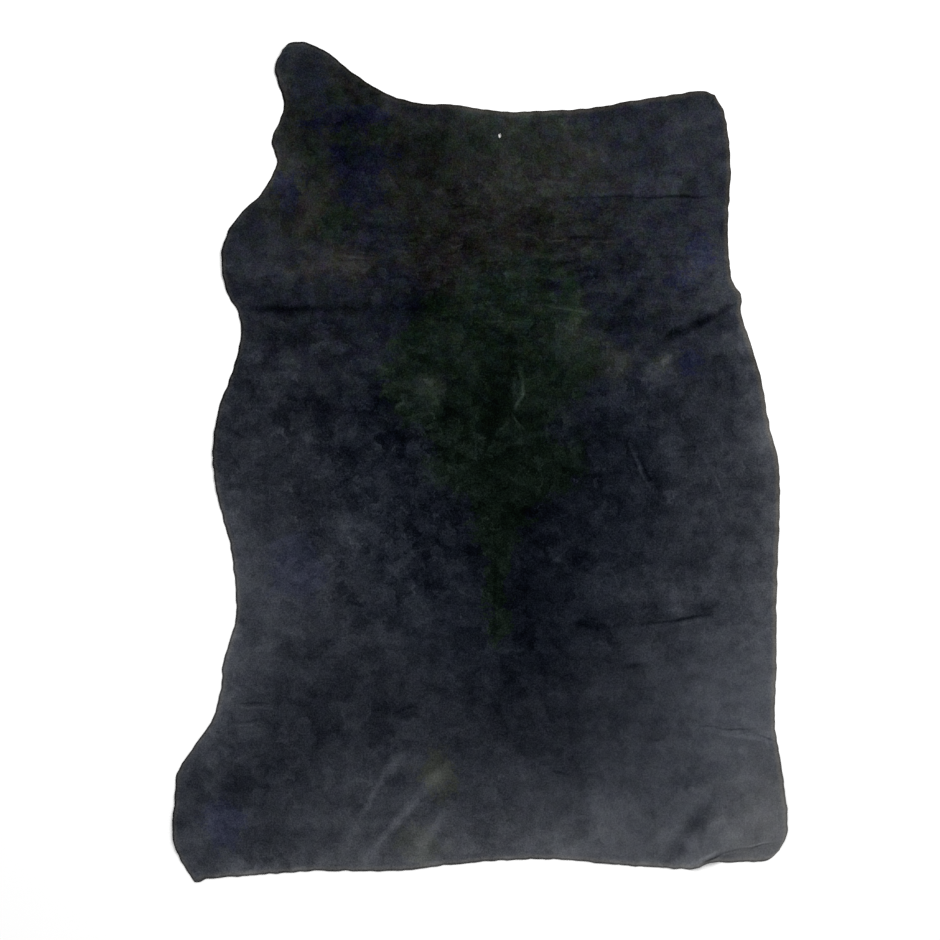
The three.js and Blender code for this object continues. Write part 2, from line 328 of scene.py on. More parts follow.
# Lighter and darker patches with ragged rims, in the same columns.
SCUFFS = (
    ("chest patch", -205, 329, 43, 33, 13),
    ("high chest patch", -275, 411, 28, 39, 7),
    ("low chest patch", -282, 319, 33, 15, 9),
    ("elbow patch", -134, 285, 33, 20, 8),
    ("elbow spot", -186, 199, 16, 20, 10),
    ("saddle patch", -85, 125, 56, 46, 19),
    ("star", 35, 240, 10, 10, 18),
    ("right saddle patch", 164, 217, 50, 44, 8),
    ("rib patch", 220, 165, 52, 36, 13),
    ("side patch", 302, 158, 39, 33, 15),
    ("side spot", 305, 165, 14, 12, 14),
    ("scar", 64, 120, 18, 34, 9),
    ("saddle blot", 135, 50, 26, 20, 9),
    ("high rib patch", 202, 326, 23, 20, 9),
    ("dark rib", 227, 230, 43, 49, -13),
    ("dark side", 283, 235, 40, 24, -12),
    ("dark chest", -172, 378, 59, 36, -7),
    ("dark nape", -41, 340, 66, 30, -6),
    ("heel patch", 430, -586, 26, 30, 7),
    ("high heel patch", 356, -537, 23, 13, 7),
    ("heel fleck", 430, -475, 14, 18, 11),
    ("knee patch", 444, -512, 26, 30, 7),
    ("low heel patch", 452, -574, 36, 32, 7),
    ("belly patch", -339, -640, 13, 13, 12),
    ("loin patch", 189, -376, 39, 26, 7),
    ("thigh patch", 132, -381, 23, 23, 6),
    ("saddle rim patch", -111, 20, 18, 28, 12),
    ("saddle foot patch", -91, -48, 20, 22, 11),
    ("spine patch", 10, -271, 12, 22, 10),
    ("dark loin", 78, -337, 66, 38, -7),
)

# The dye's hue: name, x, y, half width, half length, core, dye, share. Each is full within its core
# and lies over those before it.
HUES = (
    ("rump", 60, -870, 800, 400, 0.3, "ash", 1.0),
    ("right side", 600, -60, 240, 560, 0.3, "ash", 0.7),
    ("right heel", 550, -640, 240, 260, 0.3, "chalk", 0.7),
    ("ring", 30, 0, 320, 430, 0.7, "ink", 0.9),
    ("left neck", -246, 500, 170, 190, 0.7, "umber", 0.8),
    ("nape", 20, 440, 250, 190, 0.6, "umber", 1.0),
    ("throat", 20, 540, 170, 55, 0.4, "bottle", 0.4),
    ("ear", -280, 622, 36, 42, 0.6, "ink", 1.0),
    ("jaw", -218, 567, 84, 24, 0.8, "indigo", 0.8),
    ("neck", -196, 496, 62, 35, 0.8, "indigo", 0.7),
    ("low neck", -191, 447, 40, 35, 0.8, "indigo", 0.7),
    ("shoulder", -316, 447, 26, 30, 0.8, "indigo", 0.7),
    ("neck spot", -213, 534, 28, 24, 0.6, "bottle", 0.6),
    ("throat spot", -163, 534, 34, 18, 0.6, "bottle", 0.6),
    ("jaw spot", -240, 600, 34, 24, 0.6, "bottle", 0.4),
    ("ear foot", -275, 512, 22, 34, 0.6, "bottle", 0.5),
    ("cheek spot", -267, 430, 24, 44, 0.6, "bottle", 0.6),
    ("saddle", 45, 200, 175, 160, 0.8, "bottle", 1.0),
    ("left of the saddle", -70, 140, 98, 102, 0.8, "bottle", 1.0),
    ("saddle foot", 45, 18, 142, 108, 0.8, "bottle", 1.0),
    ("spine head", 28, -61, 50, 110, 0.8, "bottle", 1.0),
    ("spine", 28, -175, 21, 150, 0.8, "bottle", 1.0),
    ("chest patch", -209, 329, 56, 39, 0.6, "fawn", 0.6),
    ("high chest patch", -275, 411, 33, 46, 0.6, "fawn", 0.6),
    ("low chest patch", -282, 319, 43, 20, 0.6, "fawn", 0.6),
    ("red nape", 17, 373, 98, 82, 0.6, "sepia", 0.3),
    ("red throat", -65, 316, 72, 52, 0.6, "sepia", 0.4),
    ("left cheek", -237, 394, 30, 43, 0.6, "bottle", 0.8),
    ("ribs", 227, 230, 49, 56, 0.6, "ink", 0.8),
    ("saddle spot", 120, 291, 23, 13, 0.6, "ink", 0.8),
    ("dark chest", -172, 378, 66, 43, 0.6, "ink", 0.8),
    ("side", 353, 168, 16, 36, 0.6, "indigo", 1.0),
    ("high side", 363, 348, 23, 43, 0.6, "indigo", 1.0),
    ("elbow", 324, 299, 30, 21, 0.6, "indigo", 1.0),
    ("cheek", 178, 426, 33, 30, 0.6, "indigo", 0.5),
    ("saddle blot", 135, 53, 39, 28, 0.6, "ink", 0.8),
    ("left heel", -423, -596, 43, 56, 0.6, "indigo", 0.8),
    ("left flank", -303, -171, 56, 72, 0.6, "indigo", 0.6),
    ("side patch", 302, 162, 23, 16, 0.6, "moss", 0.5),
    ("saddle patch", -85, 125, 56, 46, 0.3, "umber", 0.25),
    ("right saddle patch", 164, 217, 52, 44, 0.4, "umber", 0.4),
    ("rib patch", 220, 165, 52, 38, 0.4, "umber", 0.8),
    ("inner brushed band", -66, -512, 38, 48, 0.6, "moss", 0.75),
    ("green rump", -98, -625, 50, 36, 0.6, "moss", 0.5),
)

# Painted shade and highlights along the creases, wrinkles and pleat, and scratches and brushed bands, each
# along a straight line:
# name, start x, start y, end x, end y, half width, step.
MARKS_AND_PAINTED_CREASE_LIGHT = (
    # Painted shade in the shoulder, elbow, loin and thigh creases, with painted highlights beside them.
    ("shoulder crease start", 107, 435, 345, 435, 3, -12),
    ("shoulder crease", 263, 435, 397, 436, 3.9, -26),
    ("shoulder crease light", 99, 443, 388, 443, 6.6, 6),
    ("left elbow band", -440, 253, -90, 253, 15.5, -13),
    ("left elbow dark end", -436, 253, -180, 252, 8.5, -10),
    ("right elbow crease", 430, 264, 380, 242, 8.2, -20),
    ("right elbow crease middle", 404, 250, 330, 214, 10.5, -24),
    ("right elbow crease end", 352, 222, 289, 196, 13.0, -21),
    ("right elbow branch", 368, 270, 358, 217, 9.8, -11),
    ("loin shadow", 123, -265, 233, -270, 11.5, -12),
    ("loin crease start", 236, -269, 318, -259, 5.5, -12),
    ("loin crease", 276, -264, 390, -248, 4.9, -27),
    ("loin crease light", 309, -268, 401, -253, 6.6, 10),
    ("loin crease bank", 322, -242, 397, -232, 14.8, -10),
    ("high loin shadow", 250, -237, 319, -234, 9.8, -10),
    ("low loin dash", 224, -339, 276, -327, 6.6, -12),
    ("low loin light", -9, -309, 151, -309, 4.3, 8),
    ("thigh crease start", 345, -434, 407, -432, 3, -14),
    ("thigh crease", 374, -434, 456, -439, 3, -20),
    ("thigh crease end", 433, -439, 509, -463, 2.6, -16),
    ("thigh crease light", 361, -440, 509, -462, 4.9, 9),
    # Painted shadow under the pleat's fold, with painted highlights on its crest.
    ("pleat fold", 352, -664, 404, -638, 3.0, -46),
    ("pleat light", 342, -664, 404, -629, 4.2, 22),
    ("pleat middle", 381, -644, 443, -629, 3, -19),
    ("pleat end", 424, -635, 486, -622, 2.5, -18),
    ("pleat end light", 420, -631, 489, -620, 2.6, 18),
    ("pleat upper shade", 433, -621, 473, -609, 3.9, -8),
    # Painted shade in the heel trough, with painted light on its bank.
    ("heel trough top", 388, -547, 328, -629, 26.2, -17),
    ("heel trough foot", 351, -606, 289, -672, 24.6, -18),
    ("heel trough light", 405, -556, 362, -640, 13, 8),
    ("heel trough", 382, -556, 296, -656, 20, -9),
    ("heel trough bank", 322, -585, 265, -650, 15, 8),
    ("heel spot", 402, -596, 415, -588, 6.6, -9),
    ("high heel spot", 429, -552, 432, -542, 4.9, -8),
    ("heel nick", 279, -554, 289, -606, 4.9, -9),
    ("outer brushed head", -114, -462, -170, -536, 17.0, 18),
    ("outer brushed band", -148, -500, -204, -596, 10.0, 20),
    ("outer brushed foot", -180, -560, -240, -664, 22.0, 14),
    ("inner brushed head", -28, -478, -116, -556, 22.0, 20),
    ("inner brushed band", -76, -520, -180, -638, 13.0, 21),
    ("inner brushed foot", -141, -593, -198, -668, 17.0, 14),
    ("last brushed band", -44, -546, -112, -658, 20.0, 14),
    ("spine line", 27, 20, 24, -390, 4.9, -7),
    ("throat pull", -59, 568, -59, 496, 9.8, -8),
    ("throat lines", -98, 422, 33, 419, 4.1, -9),
    ("scar top", 64, 170, 72, 116, 5.0, 14),
    ("scar", 70, 138, 70, 98, 5.2, 28),
    ("scar left", 57, 156, 55, 92, 4.4, 14),
    ("scar bend", 72, 114, 54, 80, 5.0, 24),
    ("scar foot", 50, 92, 68, 44, 4.4, 22),
    ("scar branch", 54, 78, 80, 40, 3.6, 18),
    ("rib scratch", 214, 116, 248, 60, 3.0, -13),
    ("rib scratch side", 206, 122, 240, 72, 3.4, 9),
    ("rib scratch light", 242, 42, 286, -62, 4.6, 21),
    ("rib scratch shade", 252, 36, 292, -54, 3.3, -8),
    ("side patch streak", 286, 172, 262, 118, 8.0, 10),
    ("saddle blot rim", 108, 54, 114, 30, 5.0, 14),
    ("saddle scratch", 86, 262, 197, 242, 3, 16),
    ("star scratch", -3, 230, 53, 232, 4.1, 12),
    ("side scratch", 374, -2, 412, -75, 3.3, 14),
    ("loin scratch", 210, -152, 235, -229, 3, 11),
    ("rib dash", 168, 304, 220, 304, 4.9, -12),
    ("rib line", 86, 368, 210, 367, 3.6, -12),
    ("rib line light", 142, 360, 243, 362, 3.9, 10),
    ("rib streak", 53, 335, 204, 345, 8.2, 13),
    ("rib streak shade", 46, 324, 181, 329, 8.2, -10),
    ("chest line", -246, 330, -164, 332, 2.6, -13),
    ("chest line low", -239, 316, -157, 308, 3.3, 11),
    ("chest streak", -234, 339, -172, 334, 4, 12),
    ("low chest streak", -229, 319, -163, 314, 4, 11),
    ("high chest streak", -155, 349, -106, 344, 3.5, 10),
    ("throat streak", -82, 327, -22, 322, 3.5, 11),
    ("saddle dash", -144, -4, -122, -11, 3, 16),
    ("loin dash", 116, -158, 140, -163, 4, 10),
    ("side streak", 383, 181, 388, 116, 6.6, -10),
    ("outer side streak", 414, 171, 415, 86, 6.6, -8),
    # Painted shade and highlights along the flank wrinkles.
    ("flank wrinkle", -413, -391, -321, -396, 3.3, -13),
    ("flank wrinkle light", -416, -398, -328, -404, 3.6, 11),
    ("low flank wrinkle", -416, -429, -341, -416, 3.3, -12),
    ("low flank wrinkle light", -416, -435, -347, -424, 3.3, 10),
    ("thigh dash", -144, -412, -101, -393, 4.9, -12),
    ("rump dash", 109, -504, 164, -519, 4.3, -12),
    ("belly dash", -311, -563, -288, -567, 3.3, 15),
)

# How the rims of the patches are torn, coarsely and then finely: size of the tears, and their reach.
# They reach less far along the hide than across it.
TONE_TEARS = ((90, 110), (22, 50))
SCUFF_TEARS = ((24, 44),)
HUE_TEARS = ((70, 70), (18, 70))
TEAR_REACHES = (1.0, 0.8, 0.0)

# How the marks stray from their straight lines: size of the bends, and their reach.
MARK_BENDS = 46
MARK_REACH = (7, 7, 0)

# The unevenness of the nap: size of its largest spots, detail, roughness, steps from dark to light.
# Streaks are spots that are drawn out, by scaling the place along them with the last value.
CLOUDS = (60, 4, 0.9, 70)
SPECKLE = (2.7, 1, 1.0, 44)
STREAKS_ACROSS = (20, 3, 0.9, 32)
STREAKS_DOWN = (20, 3, 0.9, 15)
STREAK_SCALE = 0.3

# Pale flecks: size, detail and roughness, and the noise at which they start and are full, with their step.
FLECKS = (18, 3, 0.8)
FLECK_FADE = (0.55, 0.7, 13)

# The mottled hue: size, detail and roughness, by how many steps red, green and blue stray, and the
# share of it that is there all over the hide.
MOTTLE = (26, 3, 0.8)
MOTTLE_STEPS = (-10, 24, 34)
LEAST_MOTTLE = 0.2

# The parts of the hide that have more or less of these: x, y, half width, half length, share, core.
CLOUDY_BACK = (-130, -60, 200, 270, 0.5, 0.3)
CLOUDY_RIBS = (-330, 90, 170, 210, 0.25, 0.3)
SMOOTH_HEEL = (420, -520, 460, 330, 0.25, 0.4)
FLECKED_PART = (-40, 120, 560, 560, 1.0, 0.5)
PART_STREAKED_ACROSS = (60, 330, 520, 210, 1.0, 0.3)
PART_STREAKED_DOWN = (330, -20, 220, 260, 1.0, 0.2)
MOTTLED_PART = (0, 440, 640, 520, 0.8, 0.3)

# The rim: how far from the edge its pale band and its painted shade, a dark line at the very edge, have
# faded out and are full.
RIM_BAND = (11.0, 3.0)
RIM_PAINTED_SHADE = (4.0, 1.5)

# The steps of the band and of the painted edge shade, and the band's share of the raw edge's hue, each on
# the side away from the light, with the painted light added on the side facing it.
RIM_BAND_AND_PAINTED_LIGHT_STEPS = (11, 5)
RIM_PAINTED_SHADE_STEPS = (-27, 17)
RIM_HUE_AND_PAINTED_LIGHT_SHARES = (0.45, 0.3)

# The way from the side with painted shade to the side with painted light, and how far along it the painted
# light starts and is full.
WAY_TO_LIGHT = (0.85, 0.5)
LIT_FROM, LIT_FULL = 60.0, 300.0

# How much brighter than its base colour the light leaves a matt surface.
LIGHT_ON_HIDE = 1.15

# How matt the suede is, and the height of its fibres.
NAP_ROUGHNESS = 0.95
RAW_ROUGHNESS = 0.97
SUEDE_SHINE = 0.03
FIBRE_HEIGHT = 0.4 * MM

# The fibres of each surface: their size, and how strongly they show.
NAP_FIBRES = (1.6, 0.35)
RAW_EDGE_FIBRES = (2, 0.4)
FLESH_FIBRES = (14 / 3, 0.4)

# The spots of the raw edge and the flesh side: size, detail, roughness, steps from dark to light.
RAW_EDGE_SPOTS = (6, 4, 0.7, 22)
FLESH_SPOTS = (14, 4, 0.7, 22)

# How a screen's colour and light are tied: the toe of the curve, and its power.
SCREEN_TOE = 0.055
SCREEN_POWER = 2.4
SCREEN_STEPS = 255


class Wire:
    """A socket that takes part in shader maths: an expression on wires adds the nodes it needs."""

    def __init__(self, shader, socket):
        self.shader = shader
        self.socket = socket

    def is_vector(self):
        return self.socket.type in {"VECTOR", "RGBA"}

    def combine(self, operation, first, second):
        wide = any(
            value.is_vector() if isinstance(value, Wire) else isinstance(value, tuple)
            for value in (first, second)
        )
        kind = "ShaderNodeVectorMath" if wide else "ShaderNodeMath"
        return self.shader.node(kind, {"operation": operation}, {0: first, 1: second})

    def __add__(self, other):
        return self.combine("ADD", self, other)

    def __radd__(self, other):
        return self.combine("ADD", other, self)

    def __sub__(self, other):
        return self.combine("SUBTRACT", self, other)

    def __rsub__(self, other):
        return self.combine("SUBTRACT", other, self)

    def __mul__(self, other):
        return self.combine("MULTIPLY", self, other)

    def __rmul__(self, other):
        return self.combine("MULTIPLY", other, self)


class Shader:
    """A new material, and the one way in which its nodes are added."""

    # The Mix node's sockets for vectors.
    MIX_FIRST, MIX_SECOND, MIX_RESULT = 4, 5, 1

    def __init__(self, name):
        self.material = bpy.data.materials.new(name)
        self.material.use_nodes = True
        self.nodes = self.material.node_tree.nodes
        self.links = self.material.node_tree.links
        self.surface = self.nodes["Principled BSDF"]

    def node(self, kind, settings=None, values=None, output=0, mapping=None):
        """Adds a node. Texture nodes can also have a mapping of their own."""
        made = self.nodes.new(kind)
        for name, setting in (settings or {}).items():
            setattr(made, name, setting)
        for name, setting in (mapping or {}).items():
            setattr(made.texture_mapping, name, setting)
        for key, value in (values or {}).items():
            self.feed(made.inputs[key], value)
        return Wire(self, made.outputs[output])

    def feed(self, socket, value):
        """Links a wire to a socket, or sets the socket's own value."""
        if isinstance(value, Wire):
            self.links.new(value.socket, socket)
        elif socket.type == "VECTOR" and not isinstance(value, tuple):
            socket.default_value = (value, value, value)
        elif socket.type == "RGBA":
            socket.default_value = (*value[:3], 1.0)
        else:
            socket.default_value = value

    def set_surface(self, values):
        for name, value in values.items():
            self.feed(self.surface.inputs[name], value)

    def mix(self, share, first, second):
        """Goes from the first vector to the second. Unlike colours, these may be below 0."""
        values = {0: share, self.MIX_FIRST: first, self.MIX_SECOND: second}
        return self.node("ShaderNodeMix", {"data_type": "VECTOR"}, values, self.MIX_RESULT)

    def place(self):
        """The point on the hide in millimetres, with its height left out."""
        point = self.node("ShaderNodeTexCoord", output="Object")
        return point * (1 / MM, 1 / MM, 0.0)

    def noise(self, place, size, detail=2.0, roughness=0.5, output="Fac"):
        values = {"Vector": place, "Scale": 1 / size, "Detail": detail, "Roughness": roughness}
        return self.node("ShaderNodeTexNoise", {"noise_dimensions": "2D"}, values, output)

    def uneven(self, place, size, detail, roughness, steps):
        """Noise that goes as far below 0 as above it."""
        return (self.noise(place, size, detail, roughness) - 0.5) * steps

    def fade(self, value, empty, full, height=1.0):
        """0 where the value is at the first limit, the height at the second, smooth between."""
        settings = {"interpolation_type": "SMOOTHSTEP", "clamp": False}
        values = {"Value": value, "From Min": empty, "From Max": full, "To Max": height}
        return self.node("ShaderNodeMapRange", settings, values)

    def oval(self, place, middle, halves, height=1.0, core=0.0, turn=0.0):
        """The height within the core of an oval, and less from there to 0 at its rim."""
        mapping = {"vector_type": "TEXTURE", "translation": (*middle, 0.0)}
        mapping.update(rotation=(0.0, 0.0, turn), scale=(*halves, 1.0))
        settings = {"gradient_type": "SPHERICAL"}
        ball = self.node("ShaderNodeTexGradient", settings, {"Vector": place}, "Fac", mapping)
        return self.fade(ball, 0.0, 1.0 - core, height)

    def part(self, place, row):
        """The oval of a part of the hide, such as FLECKED_PART."""
        x, y, half_width, half_length, share, core = row
        return self.oval(place, (x, y), (half_width, half_length), share, core)

    def stroke(self, place, start, end, half_width, height):
        """A long slim oval from start to end."""
        across, up = end[0] - start[0], end[1] - start[1]
        middle = ((start[0] + end[0]) / 2, (start[1] + end[1]) / 2)
        halves = (math.hypot(across, up) / 2, half_width)
        return self.oval(place, middle, halves, height, turn=math.atan2(up, across))

    def along(self, place, x, y):
        """The place's part along one direction, as a value."""
        values = {0: place, 1: (x, y, 0.0)}
        return self.node("ShaderNodeVectorMath", {"operation": "DOT_PRODUCT"}, values, "Value")

    def linear(self, colour):
        """Takes a colour as seen on a screen to the linear one that light works with."""
        lifted = (colour + SCREEN_TOE) * (1 / (1 + SCREEN_TOE))
        return self.node("ShaderNodeGamma", {}, {"Color": lifted, "Gamma": SCREEN_POWER})


def curve_through(rows):
    """A smooth curve through rows of place, position and value.

    Its slope at each row is that of the line between the row's two neighbours.
    """
    at = np.array([row[1] for row in rows], float)
    value = np.array([row[2] for row in rows], float)
    before = np.maximum(np.arange(len(rows)) - 1, 0)
    after = np.minimum(np.arange(len(rows)) + 1, len(rows) - 1)
    slopes = (value[after] - value[before]) / (at[after] - at[before])

    def curve(position):
        i = np.clip(np.searchsorted(at, position, side="right") - 1, 0, len(rows) - 2)
        span = at[i + 1] - at[i]
        t = np.clip((position - at[i]) / span, 0.0, 1.0)
        turn = t * t * (3 - 2 * t)
        leave = t * (1 - t) ** 2 * span * slopes[i]
        arrive = t * t * (t - 1) * span * slopes[i + 1]
        return value[i] + (value[i + 1] - value[i]) * turn + leave + arrive

    return curve


LEFT_CURVE = curve_through(LEFT_SIDE)
RIGHT_CURVE = curve_through(RIGHT_SIDE)


def column_shares(count, crowding):
    """Shares of the width, from 0 to 1, that crowd towards both sides."""
    even = np.linspace(0.0, 1.0, count + 1)
    return even - crowding * np.sin(2 * np.pi * even) / (2 * np.pi)


def meet(line, side, x):
    """The x at which a line meets a side, found by going from one to the other a few times."""
    for _ in range(MEETING_ROUNDS):
        x = float(side(line(x)))
    return x


def line_row(rows, shares):
    """The points of the sheet's row that follows a line."""
    line = curve_through(rows)
    start, end = rows[0][1], rows[-1][1]
    if rows not in (RUMP_EDGE, NECK_EDGE):
        start, end = meet(line, LEFT_CURVE, start), meet(line, RIGHT_CURVE, end)
    x = start + (end - start) * shares
    return np.stack([x, line(x)], axis=1)


def row_between(low, high, share):
    """A row between two others, with its ends set on the sides."""
    row = low + (high - low) * share
    start, end = LEFT_CURVE(row[0, 1]), RIGHT_CURVE(row[-1, 1])
    row[:, 0] = start + (row[:, 0] - row[0, 0]) * (end - start) / (row[-1, 0] - row[0, 0])
    return row


def crowded(even, towards):
    """Spreads even shares so that they crowd towards one end."""
    if towards == "start":
        return even**BAND_CROWDING
    if towards == "end":
        return 1 - (1 - even) ** BAND_CROWDING
    return even


def sheet_grid(sizes):
    """The x and y of all points of the sheet, as rows from the rump to the neck."""
    shares = column_shares(sizes.columns, sizes.edge_crowding)
    low = line_row(RUMP_EDGE, shares)
    rows = [low]
    for line, count, towards in BANDS:
        high = line_row(line, shares)
        for i in range(1, count):
            rows.append(row_between(low, high, crowded(i / count, towards)))
        rows.append(high)
        low = high
    return cut_unevenly(np.array(rows))


def cut_unevenly(grid):
    """Moves the rim points in and out a little, as a knife leaves them."""
    for side, axis in ((np.s_[:, 0], 0), (np.s_[:, -1], 0), (np.s_[0, :], 1), (np.s_[-1, :], 1)):
        points = grid[side]
        wander = [noise.noise(Vector((x, y, 0.0)) / CUT_WAVE) for x, y in points]
        points[:, axis] += CUT_REACH * np.array(wander)
    return grid


def dome(share):
    """1 at the middle and 0 from the rim on, level at both."""
    return np.where(share < 1, (1 - share**2) ** 2, 0.0)


def bank(share):
    """0 at the middle and from the rim on, 1 half way between."""
    return np.where(share < 1, np.sin(np.pi * share) ** 2, 0.0)


def fold_height(fold, profile, x, y):
    """The height of a fold, with the given profile from its line to its reach."""
    _name, x0, y0, x1, y1, rise, left, right = fold
    length = math.hypot(x1 - x0, y1 - y0)
    along_x, along_y = (x1 - x0) / length, (y1 - y0) / length
    along = (x - x0) * along_x + (y - y0) * along_y
    aside = (y - y0) * along_x - (x - x0) * along_y
    taper = dome((2 * along / length - 1) ** 2)
    share = np.abs(aside) / np.where(aside > 0, left, right)
    return rise * taper * profile(share)


def swell_height(swell, x, y):
    _name, middle_x, middle_y, half_width, half_length, rise = swell
    return rise * dome(np.hypot((x - middle_x) / half_width, (y - middle_y) / half_length))


def lift(grid):
    """The height of the sheet's underside: that of the highest fold, on top of the highest swell's."""
    x, y = grid[..., 0], grid[..., 1]
    ridges = np.max([fold_height(fold, dome, x, y) for fold in RIDGES], axis=0)
    furrows = np.max([fold_height(fold, bank, x, y) for fold in FURROWS], axis=0)
    swells = np.max([swell_height(swell, x, y) for swell in SWELLS], axis=0)
    return np.maximum(ridges, furrows) + swells


def waviness(grid, size):
    """Small uneven rises all over the sheet, from 0 to 1."""
    points = grid.reshape(-1, 2) / size
    heights = [noise.noise(Vector((x, y, 0.0))) for x, y in points]
    return 0.5 + 0.5 * np.array(heights).reshape(grid.shape[:2])


def rim_distance(grid):
    """How far each point lies from the sheet's edge, along its row and its column."""
    x, y = grid[..., 0], grid[..., 1]
    return np.minimum.reduce([x - x[:, :1], x[:, -1:] - x, y - y[:1], y[-1:] - y])


def rim_loop(rows, columns):
    """The grid's rim points in order, anticlockwise seen from above."""
    last_row, last_column = rows - 1, columns - 1
    loop = [(0, c) for c in range(last_column)]
    loop += [(r, last_column) for r in range(last_row)]
    loop += [(last_row, c) for c in range(last_column, 0, -1)]
    loop += [(r, 0) for r in range(last_row, 0, -1)]
    return loop


def outline_area(grid):
    """The area within the sheet's rim."""
    rim = np.array([grid[place] for place in rim_loop(*grid.shape[:2])])
    ahead = np.roll(rim, -1, axis=0)
    return 0.5 * abs(np.sum(rim[:, 0] * ahead[:, 1] - ahead[:, 0] * rim[:, 1]))


class ClosedSheet:
    """The mesh of the sheet while it is made. Its points are known by their row and column."""

    def __init__(self, grid, under, height):
        self.grid = grid
        self.rows, self.columns = grid.shape[:2]
        if (self.rows - 1) % UNDERSIDE_STEP or (self.columns - 1) % UNDERSIDE_STEP:
            raise ValueError(f"the sheet's rows and columns are not multiples of {UNDERSIDE_STEP}")
        self.rim = rim_distance(grid)
        self.loop = rim_loop(self.rows, self.columns)
        low, high = grid.reshape(-1, 2).min(axis=0), grid.reshape(-1, 2).max(axis=0)
        self.nap_map = (grid - low) / (high[1] - low[1]) * MAP_FILL
        self.flesh_map = FLESH_MAP_START + (grid - low) / (high - low) * FLESH_MAP_SIZE
        self.mesh = bmesh.new()
        self.rim_layer = self.mesh.verts.layers.float.new("rim")
        self.map_layer = self.mesh.loops.layers.uv.new("OFBake")
        self.tops = self.add_points(np.ndindex(self.rows, self.columns), height)
        self.unders = self.add_points(self.underside_places(), under)

    def add_points(self, places, height):
        made = {}
        for place in places:
            made[place] = self.mesh.verts.new((*self.grid[place] * MM, height[place] * MM))
            made[place][self.rim_layer] = self.rim[place]
        return made

    def underside_places(self):
        """The whole rim, and the corners of the coarse cells within it."""
        inner_rows = range(UNDERSIDE_STEP, self.rows - 1, UNDERSIDE_STEP)
        inner_columns = range(UNDERSIDE_STEP, self.columns - 1, UNDERSIDE_STEP)
        return sorted(self.loop + [(r, c) for r in inner_rows for c in inner_columns])

    def underside_cell(self, row, column):
        """A coarse cell of the underside as places, with every rim point that lies on it."""
        right, top = column + UNDERSIDE_STEP, row + UNDERSIDE_STEP

        def stride(on_rim):
            return 1 if on_rim else UNDERSIDE_STEP

        cell = [(r, column) for r in range(row, top, stride(column == 0))]
        cell += [(top, c) for c in range(column, right, stride(top == self.rows - 1))]
        cell += [(r, right) for r in range(top, row, -stride(right == self.columns - 1))]
        cell += [(row, c) for c in range(right, column, -stride(row == 0))]
        return cell

    def add_face(self, corners, material, spots):
        """A face between points, each corner of which has a spot on the bake map."""
        face = self.mesh.faces.new(corners)
        face.material_index = material
        face.smooth = True
        for corner, spot in zip(face.loops, spots):
            corner[self.map_layer].uv = spot

    def add_nap_side(self):
        for r, c in np.ndindex(self.rows - 1, self.columns - 1):
            cell = ((r, c), (r, c + 1), (r + 1, c + 1), (r + 1, c))
            spots = [self.nap_map[place] for place in cell]
            self.add_face([self.tops[place] for place in cell], NAP, spots)

    def add_flesh_side(self):
        for r in range(0, self.rows - 1, UNDERSIDE_STEP):
            for c in range(0, self.columns - 1, UNDERSIDE_STEP):
                cell = self.underside_cell(r, c)
                spots = [self.flesh_map[place] for place in cell]
                self.add_face([self.unders[place] for place in cell], FLESH, spots)

    def add_cut_edge(self):
        """The strip from the underside's rim to the nap side's, drawn upright on the bake map."""
        count = len(self.loop)
        for i, place in enumerate(self.loop):
            ahead = self.loop[(i + 1) % count]
            corners = [self.unders[place], self.unders[ahead], self.tops[ahead], self.tops[place]]
            low, high = i / count * MAP_FILL, (i + 1) / count * MAP_FILL
            inner, outer = EDGE_MAP_START, EDGE_MAP_END
            self.add_face(corners, CUT_EDGE, ((inner, low), (inner, high), (outer, high), (outer, low)))

    def finished(self):
        data = bpy.data.meshes.new("hide")
        self.mesh.to_mesh(data)
        self.mesh.free()
        return data


def sheet_mesh(grid, sizes):
    """The closed sheet: a fine nap side, a coarser flesh side and the cut edge between them."""
    under = lift(grid)
    waves = sizes.waviness / MM * waviness(grid, sizes.wave_size / MM)
    thickness = sizes.thickness / MM * np.where(rim_distance(grid) > 0, 1.0, sizes.edge_share)
    sheet = ClosedSheet(grid, under, under + thickness + waves)
    sheet.add_nap_side()
    sheet.add_flesh_side()
    sheet.add_cut_edge()
    return sheet.finished()


def pin_hole_plug(sizes):
    """A slim oval plug where a hanging pin has gone through the nape."""
    mesh = bmesh.new()
    bmesh.ops.create_cone(
        mesh, cap_ends=True, segments=PLUG_SIDES, radius1=0.5, radius2=0.5, depth=2 * PLUG_REACH
    )
    bmesh.ops.scale(mesh, vec=(sizes.hole_width, sizes.hole_length, 1.0), verts=mesh.verts)
    bmesh.ops.translate(mesh, vec=(sizes.hole_x, sizes.hole_y, 0.0), verts=mesh.verts)
    data = bpy.data.meshes.new("pin_hole")
    mesh.to_mesh(data)
    mesh.free()
    plug = bpy.data.objects.new("pin_hole", data)
    bpy.context.collection.objects.link(plug)
    return plug


def cut_out(piece, plug):
    """Takes the plug out of the piece and removes the plug."""
    points_before = len(piece.data.vertices)
    cut = piece.modifiers.new("pin hole", "BOOLEAN")
    cut.operation = "DIFFERENCE"
    cut.solver = "EXACT"
    cut.object = plug
    bpy.context.view_layer.objects.active = piece
    bpy.ops.object.modifier_apply(modifier=cut.name)
    bpy.data.objects.remove(plug)
    if len(piece.data.vertices) <= points_before:
        raise RuntimeError("the pin hole was not cut: its plug doesn't go through the sheet")


def length_property(name, description, millimetres):
    return FloatProperty(name=name, description=description, default=millimetres * MM, unit="LENGTH")


